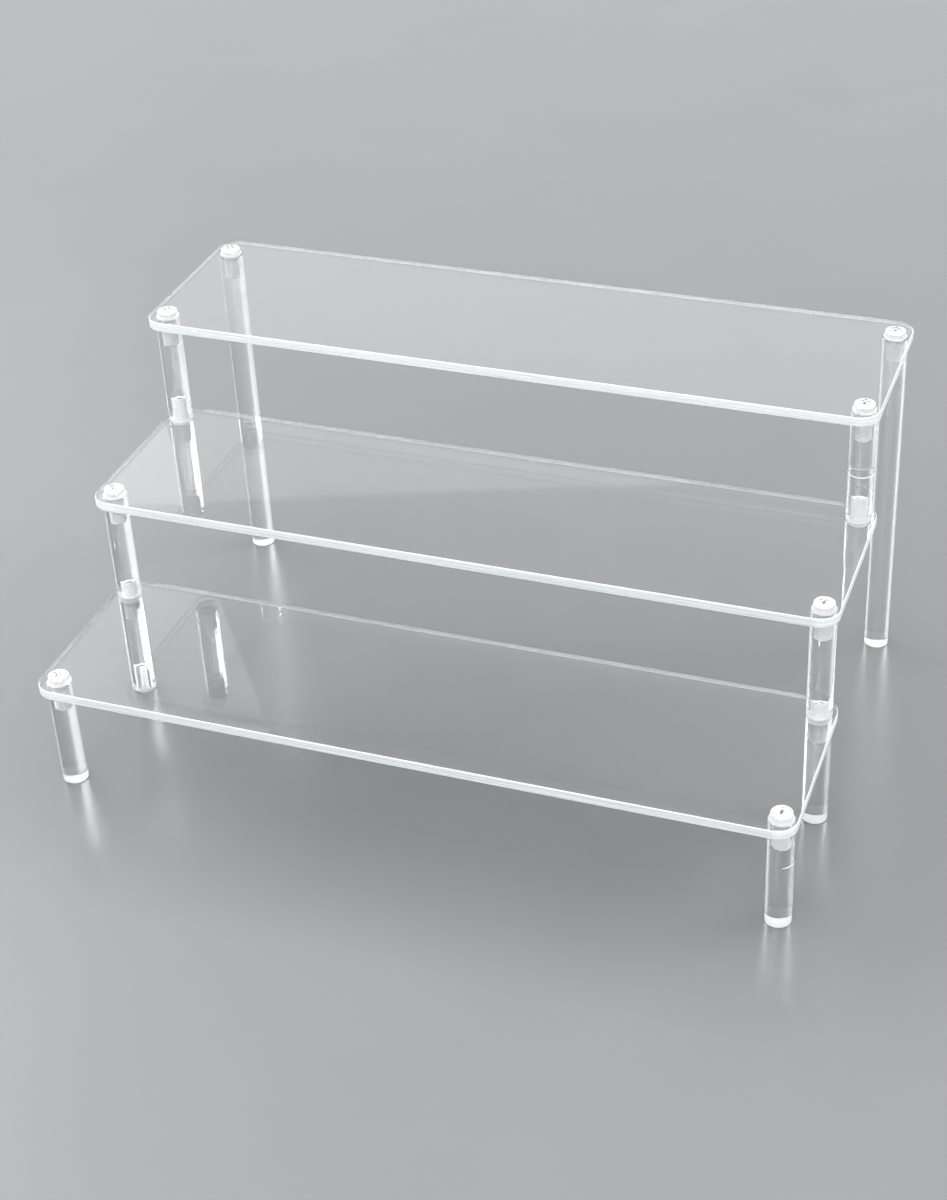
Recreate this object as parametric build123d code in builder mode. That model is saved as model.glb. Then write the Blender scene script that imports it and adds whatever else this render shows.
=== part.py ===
"""Tiered shelf riser for a kitchen shelf or a counter.

Three equal clear acrylic shelves step up and back on ten round acrylic rods. The rear holes of
one shelf lie over the same line as the front holes of the next, so a rod, the shelf and the next
rod are held by one fastener. Clear plastic screws with pan heads hold a shelf down on the rods
below it, studs join rod to rod through the bottom shelf, and flush screws from underneath hold
the rods that stand on the middle shelf with nothing below them.

Frame: millimetres, +Z up, the floor at Z = 0. The low shelf is at the front, towards -Y, and +X
is to the right. The origin is on the floor, at the middle of the riser's width and depth.
"""

from build123d import *
from math import radians, tan
import os

os.makedirs("parts", exist_ok=True)

# Shelves
shelf_length = 300.0
shelf_depth = 80.0
shelf_thickness = 3.8
shelf_corner_radius = 8.0
shelf_edge_break = 0.25
hole_end_inset = 6.5
hole_edge_inset = 10.0
clearance_hole_diameter = 4.5

# Tiers
tier_count = 3
tier_rise = 49.5

# Rods
rod_diameter = 10.0
rod_end_chamfer = 0.3
tapped_bore_diameter = 4.1
tapped_bore_depth = 12.0
drill_point_angle = 118.0

# Fasteners with a 4 mm thread
thread_diameter = 3.95
thread_end_chamfer = 0.4
thread_reach = 10.2
stud_reach = 6.2
pan_head_diameter = 8.0
pan_head_height = 1.9
pan_head_rim_height = 0.7
flush_head_diameter = 7.6
flush_head_rim_height = 0.2
flush_head_angle = 90.0
flush_head_play = 0.03
recess_span = 4.4
recess_width = 1.1
recess_depth = 1.2
recess_taper = 8.0

# Worked out from the dimensions above
step_back = shelf_depth - 2 * hole_edge_inset
rod_length = tier_rise - shelf_thickness
tall_rod_length = tier_count * tier_rise - shelf_thickness
hole_x = shelf_length / 2 - hole_end_inset
first_row_y = -tier_count * step_back / 2
sides = {"left": -hole_x, "right": hole_x}


def row_y(row):
    """The Y of a line of holes: row 0 is at the front of the bottom shelf."""
    return first_row_y + row * step_back


def shelf_top(tier):
    """The height of a shelf's top face: tier 1 is the bottom shelf."""
    return tier * tier_rise


def section_plane(centre, up):
    """An upright plane through a turned piece's axis, with its local Y along +Z or -Z."""
    return Plane(origin=centre, x_dir=(1, 0, 0), z_dir=(0, -up, 0))


def save(part, label):
    """Label a finished piece and write it under the name of its node."""
    part.label = label
    export_step(part, f"parts/{label}.step")


def make_shelf(label, tier, flush_rear_holes):
    """A flat shelf with rounded corners, broken edges and a hole near each corner."""
    middle_y = (row_y(tier - 1) + row_y(tier)) / 2
    underside = Plane(origin=(0, middle_y, shelf_top(tier) - shelf_thickness))
    with BuildPart() as shelf:
        with BuildSketch(underside):
            RectangleRounded(shelf_length, shelf_depth, shelf_corner_radius)
        extrude(amount=shelf_thickness)
        chamfer(shelf.faces().filter_by(Axis.Z).edges(), length=shelf_edge_break)
        with Locations(underside.offset(shelf_thickness)):
            with GridLocations(2 * hole_x, step_back, 2, 2):
                Hole(clearance_hole_diameter / 2)
        if flush_rear_holes:
            seat_radius = flush_head_diameter / 2 + flush_head_rim_height + flush_head_play
            for x in sides.values():
                with Locations(Plane(origin=(x, row_y(tier), underside.origin.Z), z_dir=(0, 0, -1))):
                    CounterSinkHole(
                        clearance_hole_diameter / 2, seat_radius, shelf_thickness, flush_head_angle
                    )
    save(shelf.part, label)


def make_rod(label, x, row, bottom, length, foot_tapped):
    """A round rod, tapped down its top end and, where foot_tapped, up its foot as well."""
    radius = rod_diameter / 2
    bore = tapped_bore_diameter / 2
    bore_end = tapped_bore_depth + bore / tan(radians(drill_point_angle / 2))
    foot = [(0, bore_end), (bore, tapped_bore_depth), (bore, 0)] if foot_tapped else [(0, 0)]
    outside = [
        (radius - rod_end_chamfer, 0),
        (radius, rod_end_chamfer),
        (radius, length - rod_end_chamfer),
        (radius - rod_end_chamfer, length),
    ]
    top = [(bore, length), (bore, length - tapped_bore_depth), (0, length - bore_end)]
    centre = (x, row_y(row), bottom)
    with BuildPart() as rod:
        with BuildSketch(section_plane(centre, 1)):
            with BuildLine():
                Polyline(*foot, *outside, *top, close=True)
            make_face()
        revolve(axis=Axis(centre, (0, 0, 1)))
    save(rod.part, label)


def cut_cross_recess(centre, up):
    """The tapered cross recess for the driver, cut into a screw head from its outer face."""
    with BuildSketch(Plane(origin=centre, x_dir=(1, 0, 0), z_dir=(0, 0, up))) as recess:
        Rectangle(recess_span, recess_width)
        Rectangle(recess_width, recess_span)
    extrude(recess.sketch, amount=-recess_depth, taper=recess_taper, mode=Mode.SUBTRACT)


def make_pan_screw(label, x, row, tier):
    """A pan-head screw that holds a shelf down on the rod below it."""
    radius = thread_diameter / 2
    head = pan_head_diameter / 2
    dome_height = pan_head_height - pan_head_rim_height
    dome_radius = (head**2 + dome_height**2) / (2 * dome_height)
    tip = -shelf_thickness - thread_reach
    seat = (x, row_y(row), shelf_top(tier))
    with BuildPart() as screw:
        with BuildSketch(section_plane(seat, 1)):
            with BuildLine():
                Polyline(
                    (0, pan_head_height),
                    (0, tip),
                    (radius - thread_end_chamfer, tip),
                    (radius, tip + thread_end_chamfer),
                    (radius, 0),
                    (head, 0),
                    (head, pan_head_rim_height),
                )
                RadiusArc((head, pan_head_rim_height), (0, pan_head_height), -dome_radius)
            make_face()
        revolve(axis=Axis(seat, (0, 0, 1)))
        cut_cross_recess((x, row_y(row), shelf_top(tier) + pan_head_height), 1)
    save(screw.part, label)


def make_flush_screw(label, x, row, tier):
    """A countersunk screw that comes up through a shelf into the rod standing on it."""
    radius = thread_diameter / 2
    head = flush_head_diameter / 2
    cone_height = (head - radius) / tan(radians(flush_head_angle / 2))
    tip = -shelf_thickness - thread_reach
    face = (x, row_y(row), shelf_top(tier) - shelf_thickness)
    with BuildPart() as screw:
        with BuildSketch(section_plane(face, -1)):
            with BuildLine():
                Polyline(
                    (0, 0),
                    (0, tip),
                    (radius - thread_end_chamfer, tip),
                    (radius, tip + thread_end_chamfer),
                    (radius, -flush_head_rim_height - cone_height),
                    (head, -flush_head_rim_height),
                    (head, 0),
                    close=True,
                )
            make_face()
        revolve(axis=Axis(face, (0, 0, 1)))
        cut_cross_recess(face, -1)
    save(screw.part, label)


def make_stud(label, x, row, tier):
    """A headless stud that joins the rods below and above a shelf."""
    length = shelf_thickness + 2 * stud_reach
    with BuildPart(Plane(origin=(x, row_y(row), shelf_top(tier) - shelf_thickness / 2))) as stud:
        Cylinder(thread_diameter / 2, length)
        chamfer(stud.edges().filter_by(GeomType.CIRCLE), length=thread_end_chamfer)
    save(stud.part, label)


make_shelf("bottom_shelf", tier=1, flush_rear_holes=False)
make_shelf("middle_shelf", tier=2, flush_rear_holes=True)
make_shelf("top_shelf", tier=3, flush_rear_holes=False)

for side, side_x in sides.items():
    # The left middle foot is one of the double-ended rods, so its foot is tapped too.
    double_ended_foot = side == "left"
    make_rod(f"front_foot_{side}", side_x, 0, 0, rod_length, False)
    make_rod(f"middle_foot_{side}", side_x, 1, 0, rod_length, double_ended_foot)
    make_rod(f"rear_leg_{side}", side_x, 3, 0, tall_rod_length, False)
    make_rod(f"lower_riser_{side}", side_x, 1, shelf_top(1), rod_length, True)
    make_rod(f"upper_riser_{side}", side_x, 2, shelf_top(2), rod_length, True)
    make_pan_screw(f"bottom_shelf_screw_{side}", side_x, 0, 1)
    make_pan_screw(f"middle_shelf_screw_{side}", side_x, 1, 2)
    make_pan_screw(f"top_shelf_front_screw_{side}", side_x, 2, 3)
    make_pan_screw(f"top_shelf_rear_screw_{side}", side_x, 3, 3)
    make_stud(f"joint_stud_{side}", side_x, 1, 1)
    make_flush_screw(f"flush_screw_{side}", side_x, 2, 2)
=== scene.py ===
"""The looks of the tiered shelf riser: clear acrylic shelves, rods and threaded fasteners.

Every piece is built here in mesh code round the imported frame, in metres, and stands for the CAD node
of the same name. Real joints have a hair of air between the pieces, and that air is what makes
clear plastic show its ends and its threads, so neighbours are kept a few hundredths of a
millimetre apart.
"""

from math import cos, hypot, pi, radians, sin, tan

import bmesh
import bpy
from mathutils import Matrix, Vector


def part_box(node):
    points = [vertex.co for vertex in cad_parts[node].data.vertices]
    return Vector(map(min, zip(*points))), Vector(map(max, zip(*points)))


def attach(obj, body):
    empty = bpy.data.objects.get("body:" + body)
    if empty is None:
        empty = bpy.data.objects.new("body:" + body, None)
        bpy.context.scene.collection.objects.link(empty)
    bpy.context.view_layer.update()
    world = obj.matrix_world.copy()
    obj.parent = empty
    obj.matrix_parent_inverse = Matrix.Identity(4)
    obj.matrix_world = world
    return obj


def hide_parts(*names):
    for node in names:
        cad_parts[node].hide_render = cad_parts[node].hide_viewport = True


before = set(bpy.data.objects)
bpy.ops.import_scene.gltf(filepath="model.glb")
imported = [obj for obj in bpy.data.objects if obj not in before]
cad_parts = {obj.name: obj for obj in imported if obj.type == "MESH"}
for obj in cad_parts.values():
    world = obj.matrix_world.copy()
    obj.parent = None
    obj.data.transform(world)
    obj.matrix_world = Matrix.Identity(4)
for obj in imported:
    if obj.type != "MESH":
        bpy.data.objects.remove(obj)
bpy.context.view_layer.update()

MM = 0.001
SIDES = ("left", "right")

# Fits and small features, in metres
AIR_GAP = 0.02 * MM
FLOOR_GAP = 0.05 * MM
THREAD_PITCH = 0.7 * MM
THREAD_DEPTH = 0.379 * MM
SCREW_MAJOR_RADIUS = 1.97 * MM
BORE_MAJOR_RADIUS = 2.04 * MM
BORE_MOUTH_RADIUS = 2.3 * MM
SCREW_BORE_DEPTH = 10.4 * MM
LOWER_STUD_BORE_DEPTH = 10.0 * MM
UPPER_STUD_BORE_DEPTH = 6.7 * MM
OPEN_BORE_DEPTH = 12.0 * MM
DRILL_POINT_HALF_ANGLE = radians(59)
ROD_CHAMFER = 0.3 * MM
SHELF_CORNER_RADIUS = 8.0 * MM
SHELF_EDGE_BREAK = 0.25 * MM
HOLE_RADIUS = 2.25 * MM
HOLE_EDGE_BREAK = 0.12 * MM
HEAD_RIM_HEIGHT = 0.75 * MM
HEAD_ROUNDING = 0.12 * MM
FLUSH_RIM_HEIGHT = 0.2 * MM
COUNTERSINK_CLEARANCE = 0.2 * MM
RECESS_SPAN = 4.4 * MM
RECESS_WIDTH = 1.1 * MM
RECESS_DEPTH = 1.2 * MM
RECESS_DRAFT = 0.82
NICK_DEPTH = 0.14 * MM
NICK_HALF_WIDTH = 0.2 * MM
FACET_PLAY = 0.014 * MM

# Points closer than this are one point
WELD_DISTANCE = 0.001 * MM

# How finely round things are divided, and the angle from which an edge is shaded sharp
ROUND_STEPS = 64
CORNER_STEPS = 24
DOME_STEPS = 8
SHARP_ANGLE = radians(28)

# One turn of the thread, as (share of the pitch, share of the depth)
THREAD_SHAPE = ((0.0, 0.0), (0.25, 0.0), (0.5625, 1.0), (0.6875, 1.0))


# ---------------------------------------------------------------- materials

ACRYLIC_IOR = 1.49
FLOOR_IOR = 1.6
FLOOR_ROUGHNESS = 0.25
BLOOM_SPREAD = 0.25


def new_material(name):
    """An empty node material and its Principled shader."""
    material = bpy.data.materials.new(name)
    material.use_nodes = True
    shader = material.node_tree.nodes["Principled BSDF"]
    return material, shader


def add_node(material, kind, **settings):
    """A node of that kind with its properties or, by name, its input values set."""
    node = material.node_tree.nodes.new(kind)
    for key, value in settings.items():
        if key in node.inputs:
            node.inputs[key].default_value = value
        else:
            setattr(node, key, value)
    return node


def link(material, source, target):
    """Join an output socket to an input socket."""
    material.node_tree.links.new(source, target)


def noise(material, stretch, scale, detail=4.0):
    """Noise in object space, stretched along the axes; returns the value output."""
    place = add_node(material, "ShaderNodeTexCoord")
    mapping = add_node(material, "ShaderNodeMapping", Scale=stretch)
    texture = add_node(material, "ShaderNodeTexNoise", Scale=scale, Detail=detail)
    link(material, place.outputs["Object"], mapping.inputs["Vector"])
    link(material, mapping.outputs["Vector"], texture.inputs["Vector"])
    return texture.outputs["Fac"]


def spread(material, value, low, high):
    """The value, from its usual 0.3 to 0.7, mapped to the range low to high."""
    node = add_node(material, "ShaderNodeMapRange")
    node.inputs["From Min"].default_value = 0.3
    node.inputs["From Max"].default_value = 0.7
    node.inputs["To Min"].default_value = low
    node.inputs["To Max"].default_value = high
    link(material, value, node.inputs["Value"])
    return node.outputs["Result"]


def tint(material, shader, value, dark, light):
    """Base colour that drifts between two near shades."""
    ramp = add_node(material, "ShaderNodeValToRGB")
    ramp.color_ramp.elements[0].position = 0.3
    ramp.color_ramp.elements[0].color = (*dark, 1)
    ramp.color_ramp.elements[1].position = 0.7
    ramp.color_ramp.elements[1].color = (*light, 1)
    link(material, value, ramp.inputs["Fac"])
    link(material, ramp.outputs["Color"], shader.inputs["Base Color"])


def relief(material, shader, value, height, before=None):
    """Surface relief of that height in metres, on top of an earlier one if given."""
    bump = add_node(material, "ShaderNodeBump", Strength=1.0, Distance=height)
    link(material, value, bump.inputs["Height"])
    if before:
        link(material, before.outputs["Normal"], bump.inputs["Normal"])
    link(material, bump.outputs["Normal"], shader.inputs["Normal"])
    return bump


def clear_plastic(name, transmission=1.0, gloss=0.5, bloom=0.0):
    """Clear plastic, before its surface finish. A frosted surface passes less of the light straight
    on, and has less gloss, which is the shader's specular level. Bloom is the pale film of dust that
    static holds on acrylic, seen where the surface turns away."""
    material, shader = new_material(name)
    shader.inputs["IOR"].default_value = ACRYLIC_IOR
    shader.inputs["Transmission Weight"].default_value = transmission
    shader.inputs["Specular IOR Level"].default_value = gloss
    shader.inputs["Sheen Weight"].default_value = bloom
    shader.inputs["Sheen Roughness"].default_value = BLOOM_SPREAD
    return material, shader


def polished_sheet():
    """The sheet's own glossy skin, with wiping haze and the faint waviness of cast acrylic."""
    material, shader = clear_plastic("polished_sheet")
    haze = noise(material, (1, 1, 1), 45, 6)
    tint(material, shader, haze, (0.965, 0.978, 0.982), (0.985, 0.993, 0.995))
    wipes = noise(material, (30, 260, 260), 1, 5)
    link(material, spread(material, wipes, 0.0, 0.035), shader.inputs["Roughness"])
    waves = relief(material, shader, noise(material, (1, 1, 1), 22, 1), 0.004 * MM)
    relief(material, shader, noise(material, (40, 900, 900), 1, 3), 0.0004 * MM, waves)
    return material


def cut_edge():
    """The sheet's sawn and scraped edge: satin, with fine streaks along it and cutter marks across."""
    material, shader = clear_plastic("cut_edge", transmission=0.28, gloss=0.08, bloom=0.3)
    streaks = noise(material, (35, 35, 3200), 1, 6)
    tint(material, shader, streaks, (0.80, 0.84, 0.86), (0.93, 0.955, 0.965))
    link(material, spread(material, streaks, 0.2, 0.42), shader.inputs["Roughness"])
    along = relief(material, shader, streaks, 0.012 * MM)
    relief(material, shader, noise(material, (1500, 1500, 60), 1, 3), 0.006 * MM, along)
    return material


def polished_rod():
    """Extruded rod: glossy, with flow lines along it and faint rings round it."""
    material, shader = clear_plastic("polished_rod", bloom=0.25)
    flow = noise(material, (700, 700, 9), 1, 4)
    tint(material, shader, flow, (0.965, 0.978, 0.982), (0.985, 0.993, 0.995))
    smudges = noise(material, (1, 1, 1), 260, 6)
    link(material, spread(material, smudges, 0.0, 0.05), shader.inputs["Roughness"])
    lines = relief(material, shader, flow, 0.003 * MM)
    relief(material, shader, noise(material, (12, 12, 1800), 1, 2), 0.0009 * MM, lines)
    return material


def ground_end():
    """A rod's sawn and ground end, which glows with the light that the rod carries down."""
    material, shader = clear_plastic("ground_end", transmission=0.1, gloss=0.0)
    grain = noise(material, (1, 1, 1), 2600, 8)
    tint(material, shader, grain, (0.93, 0.94, 0.945), (0.99, 0.995, 0.995))
    link(material, spread(material, grain, 0.45, 0.75), shader.inputs["Roughness"])
    relief(material, shader, grain, 0.02 * MM)
    return material


def tooled_hole():
    """The wall of a hole where a fastener bites or rubs, frosted, with fine tearing round it."""
    material, shader = clear_plastic("tooled_hole", transmission=0.05, gloss=0.0)
    tearing = noise(material, (500, 500, 5200), 1, 5)
    tint(material, shader, tearing, (0.93, 0.94, 0.945), (0.99, 0.995, 0.995))
    link(material, spread(material, tearing, 0.25, 0.5), shader.inputs["Roughness"])
    relief(material, shader, tearing, 0.01 * MM)
    return material


def moulded_clear():
    """Clear moulded fasteners, with flow haze inside and a slightly soft skin."""
    material, shader = clear_plastic("moulded_clear", transmission=0.62, bloom=0.3)
    cloud = noise(material, (1, 1, 1), 900, 5)
    tint(material, shader, cloud, (0.93, 0.945, 0.95), (0.98, 0.985, 0.988))
    link(material, spread(material, cloud, 0.02, 0.12), shader.inputs["Roughness"])
    relief(material, shader, cloud, 0.004 * MM)
    return material


def glassy_recess():
    """The walls of a screw's recess, left glassy by the mould's pin, with its faint drag marks."""
    material, shader = clear_plastic("glassy_recess")
    drag = noise(material, (900, 900, 120), 1, 4)
    tint(material, shader, drag, (0.93, 0.945, 0.95), (0.98, 0.985, 0.988))
    link(material, spread(material, drag, 0.0, 0.05), shader.inputs["Roughness"])
    relief(material, shader, drag, 0.003 * MM)
    return material


def pale_floor():
    """The plain floor: a light grey table top with a soft gloss."""
    material, shader = new_material("pale_floor")
    drift = noise(material, (1, 1, 1), 12, 3)
    tint(material, shader, drift, (0.128, 0.13, 0.131), (0.133, 0.135, 0.136))
    shader.inputs["Roughness"].default_value = FLOOR_ROUGHNESS
    shader.inputs["IOR"].default_value = FLOOR_IOR
    return material


POLISHED_SHEET = polished_sheet()
CUT_EDGE = cut_edge()
POLISHED_ROD = polished_rod()
GROUND_END = ground_end()
TOOLED_HOLE = tooled_hole()
MOULDED_CLEAR = moulded_clear()
GLASSY_RECESS = glassy_recess()

# Places in a piece's material list: a shelf or rod has skin, cut and hole, a screw skin and recess
SKIN = 0
CUT = 1
RECESS = 1
HOLE = 2


# ---------------------------------------------------------------- turned pieces


def ring(mesh, x, y, radius, z):
    """A circle of vertices about the upright line at x, y. The radius is a length, or a function of
    the angle where the circle isn't quite round."""
    verts = []
    for i in range(ROUND_STEPS):
        angle = 2 * pi * i / ROUND_STEPS
        reach = radius(angle) if callable(radius) else radius
        verts.append(mesh.verts.new((x + reach * cos(angle), y + reach * sin(angle), z)))
    return verts


def face(mesh, corners, finish):
    """A face of the corners that differ, if at least three do."""
    different = []
    for corner in corners:
        if corner not in different:
            different.append(corner)
    if len(different) > 2:
        mesh.faces.new(different).material_index = finish


def join_rings(mesh, first, second, finish):
    """A band of faces between two rings."""
    for i in range(ROUND_STEPS):
        j = (i + 1) % ROUND_STEPS
        face(mesh, (first[i], first[j], second[j], second[i]), finish)


def close_ring(mesh, rim, x, y, z, finish):
    """A fan of faces from a ring to a point on the axis."""
    middle = mesh.verts.new((x, y, z))
    for i in range(ROUND_STEPS):
        face(mesh, (rim[i], rim[(i + 1) % ROUND_STEPS], middle), finish)


def join_thread(mesh, first, second, x, y, major_radius, lead_in, finish):
    """A right-hand helical thread between two rings. Its turns depend on the height alone, so a
    screw and the bore round it are always in step. lead_in tapers the crests near both rings."""
    low, high = (first, second) if first[0].co.z < second[0].co.z else (second, first)
    bottom, top = low[0].co.z, high[0].co.z
    points = len(THREAD_SHAPE)
    columns = []
    first_line = points * (int(bottom / THREAD_PITCH) - 2)
    last_line = points * (int(top / THREAD_PITCH) + 2)
    for i in range(ROUND_STEPS + 1):
        column = {}
        angle = 2 * pi * i / ROUND_STEPS
        for line in range(first_line, last_line + 1):
            turn, point = divmod(line, points)
            share, height = THREAD_SHAPE[point]
            z = THREAD_PITCH * (turn + share + i / ROUND_STEPS)
            if i == ROUND_STEPS:
                column[line] = columns[0].get(line + points, high[0])
            elif z < bottom + AIR_GAP:
                column[line] = low[i]
            elif z > top - AIR_GAP:
                column[line] = high[i]
            else:
                radius = major_radius - THREAD_DEPTH * (1 - height)
                if lead_in:
                    core = major_radius - THREAD_DEPTH
                    radius = min(radius, core + min(z - bottom, top - z))
                column[line] = mesh.verts.new((x + radius * cos(angle), y + radius * sin(angle), z))
        columns.append(column)
    for i in range(ROUND_STEPS):
        here, there = columns[i], columns[i + 1]
        for line in range(first_line, last_line):
            face(mesh, (here[line], there[line], there[line + 1], here[line + 1]), finish)


def turned(x, y, outline):
    """A closed bmesh turned about the upright line at x, y.

    The outline runs from the axis back to the axis, in (radius, z, finish) or
    (radius, z, finish, thread) points: the finish, and the thread if there is one, belong to the
    stretch that follows the point. A thread is (major radius, lead_in)."""
    mesh = bmesh.new()
    rings = [ring(mesh, x, y, point[0], point[1]) for point in outline[1:-1]]
    close_ring(mesh, rings[0], x, y, outline[0][1], outline[0][2])
    for i in range(len(rings) - 1):
        point = outline[i + 1]
        if len(point) == 4:
            join_thread(mesh, rings[i], rings[i + 1], x, y, *point[3], point[2])
        else:
            join_rings(mesh, rings[i], rings[i + 1], point[2])
    close_ring(mesh, rings[-1], x, y, outline[-1][1], outline[-2][2])
    return mesh


# ---------------------------------------------------------------- finishing a piece


def place(mesh, name, slot, materials):
    """Turn a bmesh into the piece that stands for the CAD node of the same name."""
    bmesh.ops.recalc_face_normals(mesh, faces=mesh.faces)
    data = bpy.data.meshes.new(name)
    mesh.to_mesh(data)
    mesh.free()
    for material in materials:
        data.materials.append(material)
    data.polygons.foreach_set("use_smooth", [True] * len(data.polygons))
    data.set_sharp_from_angle(angle=SHARP_ANGLE)
    piece = bpy.data.objects.new("clear_" + name, data)
    bpy.context.scene.collection.objects.link(piece)
    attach(piece, "root")
    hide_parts(name)


# ---------------------------------------------------------------- rods


def bore_outline(end_z, inwards, depth, finish):
    """The outline of a tapped bore, from its drill point out to its mouth at end_z. Its thread is
    whitened where a fastener bites, and has the skin's finish in an open bore."""
    core = BORE_MAJOR_RADIUS - THREAD_DEPTH
    floor_z = end_z + inwards * depth
    tip_z = floor_z + inwards * core / tan(DRILL_POINT_HALF_ANGLE)
    return [
        (0, tip_z, SKIN),
        (core, floor_z, finish, (BORE_MAJOR_RADIUS, False)),
        (BORE_MAJOR_RADIUS, end_z + inwards * (BORE_MOUTH_RADIUS - BORE_MAJOR_RADIUS), finish),
        (BORE_MOUTH_RADIUS, end_z, CUT),
    ]


def backwards(outline):
    """The same outline walked the other way, with each stretch keeping its finish."""
    points = [point[:2] for point in reversed(outline)]
    stretches = [point[2:] for point in reversed(outline[:-1])]
    return [point + stretch for point, stretch in zip(points, stretches)] + [points[-1] + (SKIN,)]


def nicked(radius, start, sweep):
    """A rod's radius where a blade has nicked it over the sweep of angle that begins at start."""
    def reach(angle):
        along = (angle - start) % (2 * pi) / sweep
        return radius - (NICK_DEPTH * sin(pi * along) ** 0.5 if along < 1 else 0)
    return reach


def polish_round_nick(mesh, x, y, radius, z):
    """Give the skin's finish back to the faces at a nick's height that the blade didn't reach. Their
    middles lie on the rod's radius, but for the little that its facets cut off."""
    for band in mesh.faces:
        middle = band.calc_center_median()
        untouched = hypot(middle.x - x, middle.y - y) > radius - FACET_PLAY
        if abs(middle.z - z) < NICK_HALF_WIDTH and untouched:
            band.material_index = SKIN


def rod(name, stands_on_floor, foot_bore_depth, top_bore_depth, nick=None):
    """A rod with polished sides, ground ends and helical threads in its tapped ends. A foot bore of
    no depth is left out. A nick is (height above the foot, start angle, sweep angle)."""
    low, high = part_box(name)
    x, y = (low.x + high.x) / 2, (low.y + high.y) / 2
    radius = (high.x - low.x) / 2
    foot = low.z + (FLOOR_GAP if stands_on_floor else AIR_GAP)
    top = high.z - AIR_GAP
    outside = [
        (radius - ROD_CHAMFER, foot, SKIN),
        (radius, foot + ROD_CHAMFER, SKIN),
        (radius, top - ROD_CHAMFER, SKIN),
        (radius - ROD_CHAMFER, top, CUT),
    ]
    if nick:
        height, start, sweep = nick
        outside[2:2] = [
            (radius, foot + height - NICK_HALF_WIDTH, CUT),
            (nicked(radius, start, sweep), foot + height, CUT),
            (radius, foot + height + NICK_HALF_WIDTH, SKIN),
        ]
    bottom = [(0, foot, CUT)]
    if foot_bore_depth:
        bottom = bore_outline(foot, 1, foot_bore_depth, SKIN if stands_on_floor else HOLE)
    mesh = turned(x, y, bottom + outside + backwards(bore_outline(top, -1, top_bore_depth, HOLE)))
    if nick:
        polish_round_nick(mesh, x, y, radius, foot + height)
    place(mesh, name, "rod_stock", [POLISHED_ROD, GROUND_END, TOOLED_HOLE])


# ---------------------------------------------------------------- fasteners


def recess_plug(x, y, deep_z, mouth_z):
    """A closed plug the shape of the driver's cross recess, narrower at its deep end."""
    long, wide = RECESS_SPAN / 2, RECESS_WIDTH / 2
    arm = [(long, -wide), (long, wide), (wide, wide)]
    corners = []
    for quarter in range(4):
        corners += arm
        arm = [(-py, px) for px, py in arm]
    plug = bmesh.new()
    ends = []
    for z, scale in ((deep_z, RECESS_DRAFT), (mouth_z, 2 - RECESS_DRAFT)):
        ends.append([plug.verts.new((x + px * scale, y + py * scale, z)) for px, py in corners])
    deep, mouth = ends
    for i in range(len(corners)):
        j = (i + 1) % len(corners)
        face(plug, (deep[i], deep[j], mouth[j], mouth[i]), SKIN)
    for end in ends:
        face(plug, end, SKIN)
    return plug


def cut_recess(mesh, x, y, z, up):
    """Cut the driver's cross recess into a head whose outer face is at z, and return the mesh."""
    plug = recess_plug(x, y, z - up * RECESS_DEPTH, z + up * RECESS_DEPTH)
    for shape in (mesh, plug):
        bmesh.ops.recalc_face_normals(shape, faces=shape.faces)
    head = object_of(mesh, "head")
    tool = object_of(plug, "tool")
    boolean = head.modifiers.new("recess", "BOOLEAN")
    boolean.operation = "DIFFERENCE"
    boolean.solver = "EXACT"
    boolean.object = tool
    bpy.context.view_layer.update()
    evaluated = head.evaluated_get(bpy.context.evaluated_depsgraph_get())
    result = bmesh.new()
    result.from_mesh(evaluated.to_mesh())
    evaluated.to_mesh_clear()
    bmesh.ops.remove_doubles(result, verts=result.verts, dist=WELD_DISTANCE)
    bmesh.ops.dissolve_degenerate(result, edges=result.edges, dist=WELD_DISTANCE)
    for patch in result.faces:
        middle = patch.calc_center_median()
        near, far = sorted((abs(middle.x - x), abs(middle.y - y)))
        in_cross = near < RECESS_WIDTH / 2 and far < RECESS_SPAN / 2
        if in_cross and (z - middle.z) * up < RECESS_DEPTH + AIR_GAP:
            patch.material_index = RECESS
    for spare in (head, tool):
        data = spare.data
        bpy.data.objects.remove(spare)
        bpy.data.meshes.remove(data)
    return result


def object_of(mesh, name):
    """A plain object made of a bmesh, which is freed."""
    data = bpy.data.meshes.new(name)
    mesh.to_mesh(data)
    mesh.free()
    made = bpy.data.objects.new(name, data)
    bpy.context.scene.collection.objects.link(made)
    return made


def dome_outline(head_radius, rim_z, crown_z):
    """The low dome of a pan head, from its rim up to the axis, as an arc of a circle."""
    rise = crown_z - rim_z
    curve = (head_radius**2 + rise**2) / (2 * rise)
    points = []
    for i in range(DOME_STEPS):
        reach = head_radius * cos(pi / 2 * i / DOME_STEPS)
        points.append((reach, crown_z - curve + (curve**2 - reach**2) ** 0.5, SKIN))
    return points + [(0, crown_z, SKIN)]


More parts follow.
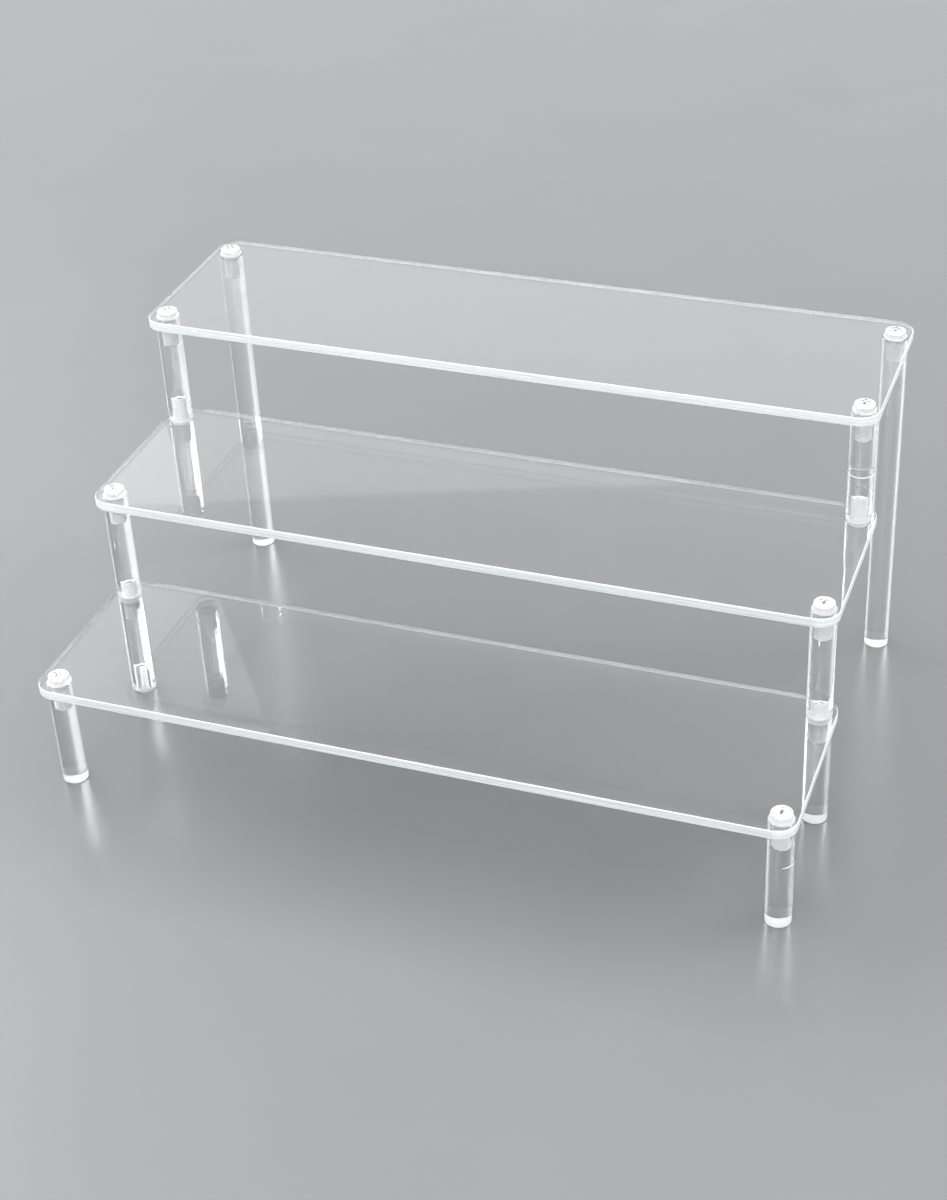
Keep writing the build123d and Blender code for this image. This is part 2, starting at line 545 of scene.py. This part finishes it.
def pan_screw(name, seat_z):
    """A pan-head screw, from its tip up through the shelf to its domed head."""
    low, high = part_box(name)
    x, y = (low.x + high.x) / 2, (low.y + high.y) / 2
    head_radius = (high.x - low.x) / 2
    core = SCREW_MAJOR_RADIUS - THREAD_DEPTH
    under_head = seat_z + AIR_GAP
    outline = [
        (0, low.z, SKIN),
        (core, low.z, SKIN, (SCREW_MAJOR_RADIUS, True)),
        (core, under_head - HEAD_ROUNDING, SKIN),
        (core + HEAD_ROUNDING, under_head, SKIN),
        (head_radius - HEAD_ROUNDING, under_head, SKIN),
        (head_radius, under_head + HEAD_ROUNDING, SKIN),
    ]
    outline += dome_outline(head_radius, seat_z + HEAD_RIM_HEIGHT, high.z)
    mesh = turned(x, y, outline)
    mesh = cut_recess(mesh, x, y, high.z, 1)
    place(mesh, name, "clear_fastener", [MOULDED_CLEAR, GLASSY_RECESS])


def flush_screw(name):
    """A countersunk screw with its head flush with the shelf's underside."""
    low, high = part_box(name)
    x, y = (low.x + high.x) / 2, (low.y + high.y) / 2
    head_radius = (high.x - low.x) / 2 - AIR_GAP
    core = SCREW_MAJOR_RADIUS - THREAD_DEPTH
    rim_z = low.z + FLUSH_RIM_HEIGHT
    neck_z = rim_z + head_radius - core
    outline = [
        (0, low.z, SKIN),
        (head_radius, low.z, SKIN),
        (head_radius, rim_z, SKIN),
        (core, neck_z, SKIN, (SCREW_MAJOR_RADIUS, True)),
        (core, high.z, SKIN),
        (0, high.z, SKIN),
    ]
    mesh = turned(x, y, outline)
    mesh = cut_recess(mesh, x, y, low.z, -1)
    place(mesh, name, "clear_fastener", [MOULDED_CLEAR, GLASSY_RECESS])


def stud(name):
    """A headless stud, threaded from end to end."""
    low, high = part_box(name)
    x, y = (low.x + high.x) / 2, (low.y + high.y) / 2
    core = SCREW_MAJOR_RADIUS - THREAD_DEPTH
    outline = [
        (0, low.z, SKIN),
        (core, low.z, SKIN, (SCREW_MAJOR_RADIUS, True)),
        (core, high.z, SKIN),
        (0, high.z, SKIN),
    ]
    place(turned(x, y, outline), name, "clear_fastener", [MOULDED_CLEAR])


# ---------------------------------------------------------------- shelves


def rounded_rectangle(middle, half_x, half_y, corner):
    """Points round a rectangle with rounded corners, anticlockwise."""
    points = []
    for quarter, (sign_x, sign_y) in enumerate(((1, 1), (-1, 1), (-1, -1), (1, -1))):
        for i in range(CORNER_STEPS + 1):
            angle = pi / 2 * (quarter + i / CORNER_STEPS)
            x = middle.x + sign_x * (half_x - corner) + corner * cos(angle)
            y = middle.y + sign_y * (half_y - corner) + corner * sin(angle)
            points.append((x, y))
    return points


def circle(middle, radius):
    """Points round a circle, anticlockwise."""
    points = []
    for i in range(ROUND_STEPS):
        angle = 2 * pi * i / ROUND_STEPS
        points.append((middle.x + radius * cos(angle), middle.y + radius * sin(angle)))
    return points


def wall(mesh, levels, finishes):
    """Bands of faces up through closed contours, each (points, z); returns the end contours' edges."""
    contours = [[mesh.verts.new((px, py, z)) for px, py in points] for points, z in levels]
    for lower, upper, finish in zip(contours, contours[1:], finishes):
        for i in range(len(lower)):
            j = (i + 1) % len(lower)
            face(mesh, (lower[i], lower[j], upper[j], upper[i]), finish)
    ends = []
    for contour in (contours[0], contours[-1]):
        pairs = zip(contour, contour[1:] + contour[:1])
        ends.append([mesh.edges.get(pair) for pair in pairs])
    return ends


def hole_levels(middle, low_z, high_z, countersunk):
    """The contours of a screw hole up through a shelf, with broken or countersunk edges."""
    bottom_radius = HOLE_RADIUS + HOLE_EDGE_BREAK
    bottom_depth = HOLE_EDGE_BREAK
    if countersunk:
        screw_low, screw_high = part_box("flush_screw_left")
        bottom_radius = (screw_high.x - screw_low.x) / 2 + COUNTERSINK_CLEARANCE + AIR_GAP
        bottom_depth = bottom_radius - HOLE_RADIUS
    return [
        (circle(middle, bottom_radius), low_z),
        (circle(middle, HOLE_RADIUS), low_z + bottom_depth),
        (circle(middle, HOLE_RADIUS), high_z - HOLE_EDGE_BREAK),
        (circle(middle, HOLE_RADIUS + HOLE_EDGE_BREAK), high_z),
    ]


def shelf(name, front_screws, rear_fasteners, rear_countersunk):
    """A shelf with polished faces, satin cut edges and a hole at each fastener."""
    low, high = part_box(name)
    middle = (low + high) / 2
    half_x, half_y = (high.x - low.x) / 2, (high.y - low.y) / 2
    inset = SHELF_EDGE_BREAK
    outer = rounded_rectangle(middle, half_x, half_y, SHELF_CORNER_RADIUS)
    inner = rounded_rectangle(middle, half_x - inset, half_y - inset, SHELF_CORNER_RADIUS - inset)
    mesh = bmesh.new()
    levels = [(inner, low.z), (outer, low.z + inset), (outer, high.z - inset), (inner, high.z)]
    bottoms, tops = wall(mesh, levels, (CUT, CUT, CUT))
    for group, countersunk in ((front_screws, False), (rear_fasteners, rear_countersunk)):
        for side in SIDES:
            screw_low, screw_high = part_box(f"{group}_{side}")
            levels = hole_levels((screw_low + screw_high) / 2, low.z, high.z, countersunk)
            bottom, top = wall(mesh, levels, (HOLE, HOLE, HOLE))
            bottoms += bottom
            tops += top
    for rims in (bottoms, tops):
        bmesh.ops.triangle_fill(mesh, use_beauty=True, use_dissolve=False, edges=rims)
    place(mesh, name, "shelf_sheet", [POLISHED_SHEET, CUT_EDGE, TOOLED_HOLE])


# ---------------------------------------------------------------- the riser

shelf("bottom_shelf", "bottom_shelf_screw", "joint_stud", False)
shelf("middle_shelf", "middle_shelf_screw", "flush_screw", True)
shelf("top_shelf", "top_shelf_front_screw", "top_shelf_rear_screw", False)

shelf_tops = {name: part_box(name)[1].z for name in ("bottom_shelf", "middle_shelf", "top_shelf")}

# Blade marks left by cutting the rods to length
NICKS = {
    "front_foot_right": (28.5 * MM, radians(-65), radians(80)),
    "upper_riser_right": (21.0 * MM, radians(120), radians(355)),
}

for side in SIDES:
    foot_nick, riser_nick = NICKS.get(f"front_foot_{side}"), NICKS.get(f"upper_riser_{side}")
    open_bore_depth = OPEN_BORE_DEPTH if side == "left" else 0
    rod(f"front_foot_{side}", True, 0, SCREW_BORE_DEPTH, foot_nick)
    rod(f"middle_foot_{side}", True, open_bore_depth, LOWER_STUD_BORE_DEPTH)
    rod(f"rear_leg_{side}", True, 0, SCREW_BORE_DEPTH)
    rod(f"lower_riser_{side}", False, UPPER_STUD_BORE_DEPTH, SCREW_BORE_DEPTH)
    rod(f"upper_riser_{side}", False, SCREW_BORE_DEPTH, SCREW_BORE_DEPTH, riser_nick)
    pan_screw(f"bottom_shelf_screw_{side}", shelf_tops["bottom_shelf"])
    pan_screw(f"middle_shelf_screw_{side}", shelf_tops["middle_shelf"])
    pan_screw(f"top_shelf_front_screw_{side}", shelf_tops["top_shelf"])
    pan_screw(f"top_shelf_rear_screw_{side}", shelf_tops["top_shelf"])
    stud(f"joint_stud_{side}")
    flush_screw(f"flush_screw_{side}")


# ---------------------------------------------------------------- floor, light and camera

FLOOR_HALF_SIZE = 30.0
CAMERA_AZIMUTH = radians(20.09)
CAMERA_ELEVATION = radians(32.54)
CAMERA_ROLL = radians(-2.25)
CAMERA_SPOT = Vector((0.2669, -0.6784, 0.5538))
PANEL_AIM = Vector((0, 0, 0.05))
PANEL_TOP = 3.0


def floor(half_size):
    """A pale floor, a hair under the feet."""
    mesh = bmesh.new()
    bmesh.ops.create_grid(mesh, x_segments=8, y_segments=8, size=half_size)
    bmesh.ops.translate(mesh, verts=mesh.verts, vec=(0, 0, -FLOOR_GAP))
    ground = object_of(mesh, "floor")
    ground.data.materials.append(pale_floor())


def panel(name, turn, distance, low, high, width, radiance):
    """A soft upright light panel that faces the riser. turn is in degrees to the left of the
    camera's line of sight, low and high are the heights of its edges."""
    height = high - low
    bearing = pi / 2 + CAMERA_AZIMUTH + radians(turn)
    spot = Vector((distance * cos(bearing), distance * sin(bearing), (low + high) / 2))
    light = bpy.data.lights.new(name, "AREA")
    light.shape = "RECTANGLE"
    light.size = width
    light.size_y = height
    light.energy = radiance * pi * width * height
    lamp = bpy.data.objects.new(name, light)
    lamp.location = spot
    lamp.rotation_euler = (PANEL_AIM - spot).to_track_quat("-Z", "Y").to_euler()
    lamp.visible_camera = False
    bpy.context.scene.collection.objects.link(lamp)


def room_light(horizon, zenith):
    """Soft light from all round, stronger from straight above."""
    world = bpy.data.worlds.new("room")
    world.use_nodes = True
    nodes, links = world.node_tree.nodes, world.node_tree.links
    background = nodes["Background"]
    background.inputs["Color"].default_value = (0.97, 0.98, 1.0, 1)
    way = nodes.new("ShaderNodeTexCoord")
    parts = nodes.new("ShaderNodeSeparateXYZ")
    rise = nodes.new("ShaderNodeMapRange")
    rise.interpolation_type = "SMOOTHSTEP"
    rise.inputs["From Min"].default_value = 0.5
    rise.inputs["To Min"].default_value = horizon
    rise.inputs["To Max"].default_value = zenith
    links.new(way.outputs["Generated"], parts.inputs["Vector"])
    links.new(parts.outputs["Z"], rise.inputs["Value"])
    links.new(rise.outputs["Result"], background.inputs["Strength"])
    bpy.context.scene.world = world


def camera():
    """The camera: turned 20 degrees to the right of the front, looking down on the riser."""
    lens = bpy.data.cameras.new("camera")
    lens.sensor_width = 36
    lens.lens = 66.1
    lens.shift_x = -0.0426
    lens.shift_y = -0.0632
    lens.clip_end = 50
    viewer = bpy.data.objects.new("camera", lens)
    turn = Matrix.Rotation(CAMERA_AZIMUTH, 4, "Z")
    tilt = Matrix.Rotation(pi / 2 - CAMERA_ELEVATION, 4, "X")
    roll = Matrix.Rotation(CAMERA_ROLL, 4, "Z")
    viewer.matrix_world = Matrix.Translation(CAMERA_SPOT) @ turn @ tilt @ roll
    bpy.context.scene.collection.objects.link(viewer)
    bpy.context.scene.camera = viewer


floor(FLOOR_HALF_SIZE)
room_light(horizon=0.48, zenith=2.6)
panel("left_panel", turn=54, distance=3.0, low=1.45, high=PANEL_TOP, width=2.7, radiance=6)
panel("right_panel", turn=-80, distance=3.0, low=1.45, high=PANEL_TOP, width=1.6, radiance=6.5)
panel("front_panel", turn=165, distance=3.0, low=1.2, high=PANEL_TOP, width=3.0, radiance=4)
panel("back_panel", turn=0, distance=2.6, low=0.3, high=1.6, width=3.6, radiance=0.5)
panel("corner_panel", turn=32.5, distance=2.14, low=0.9, high=2.3, width=1.6, radiance=0.6)
camera()

scene = bpy.context.scene
scene.view_settings.view_transform = "Standard"
scene.view_settings.exposure = 0.28
scene.cycles.max_bounces = 32
scene.cycles.transmission_bounces = 32
scene.cycles.glossy_bounces = 8
scene.cycles.transparent_max_bounces = 16
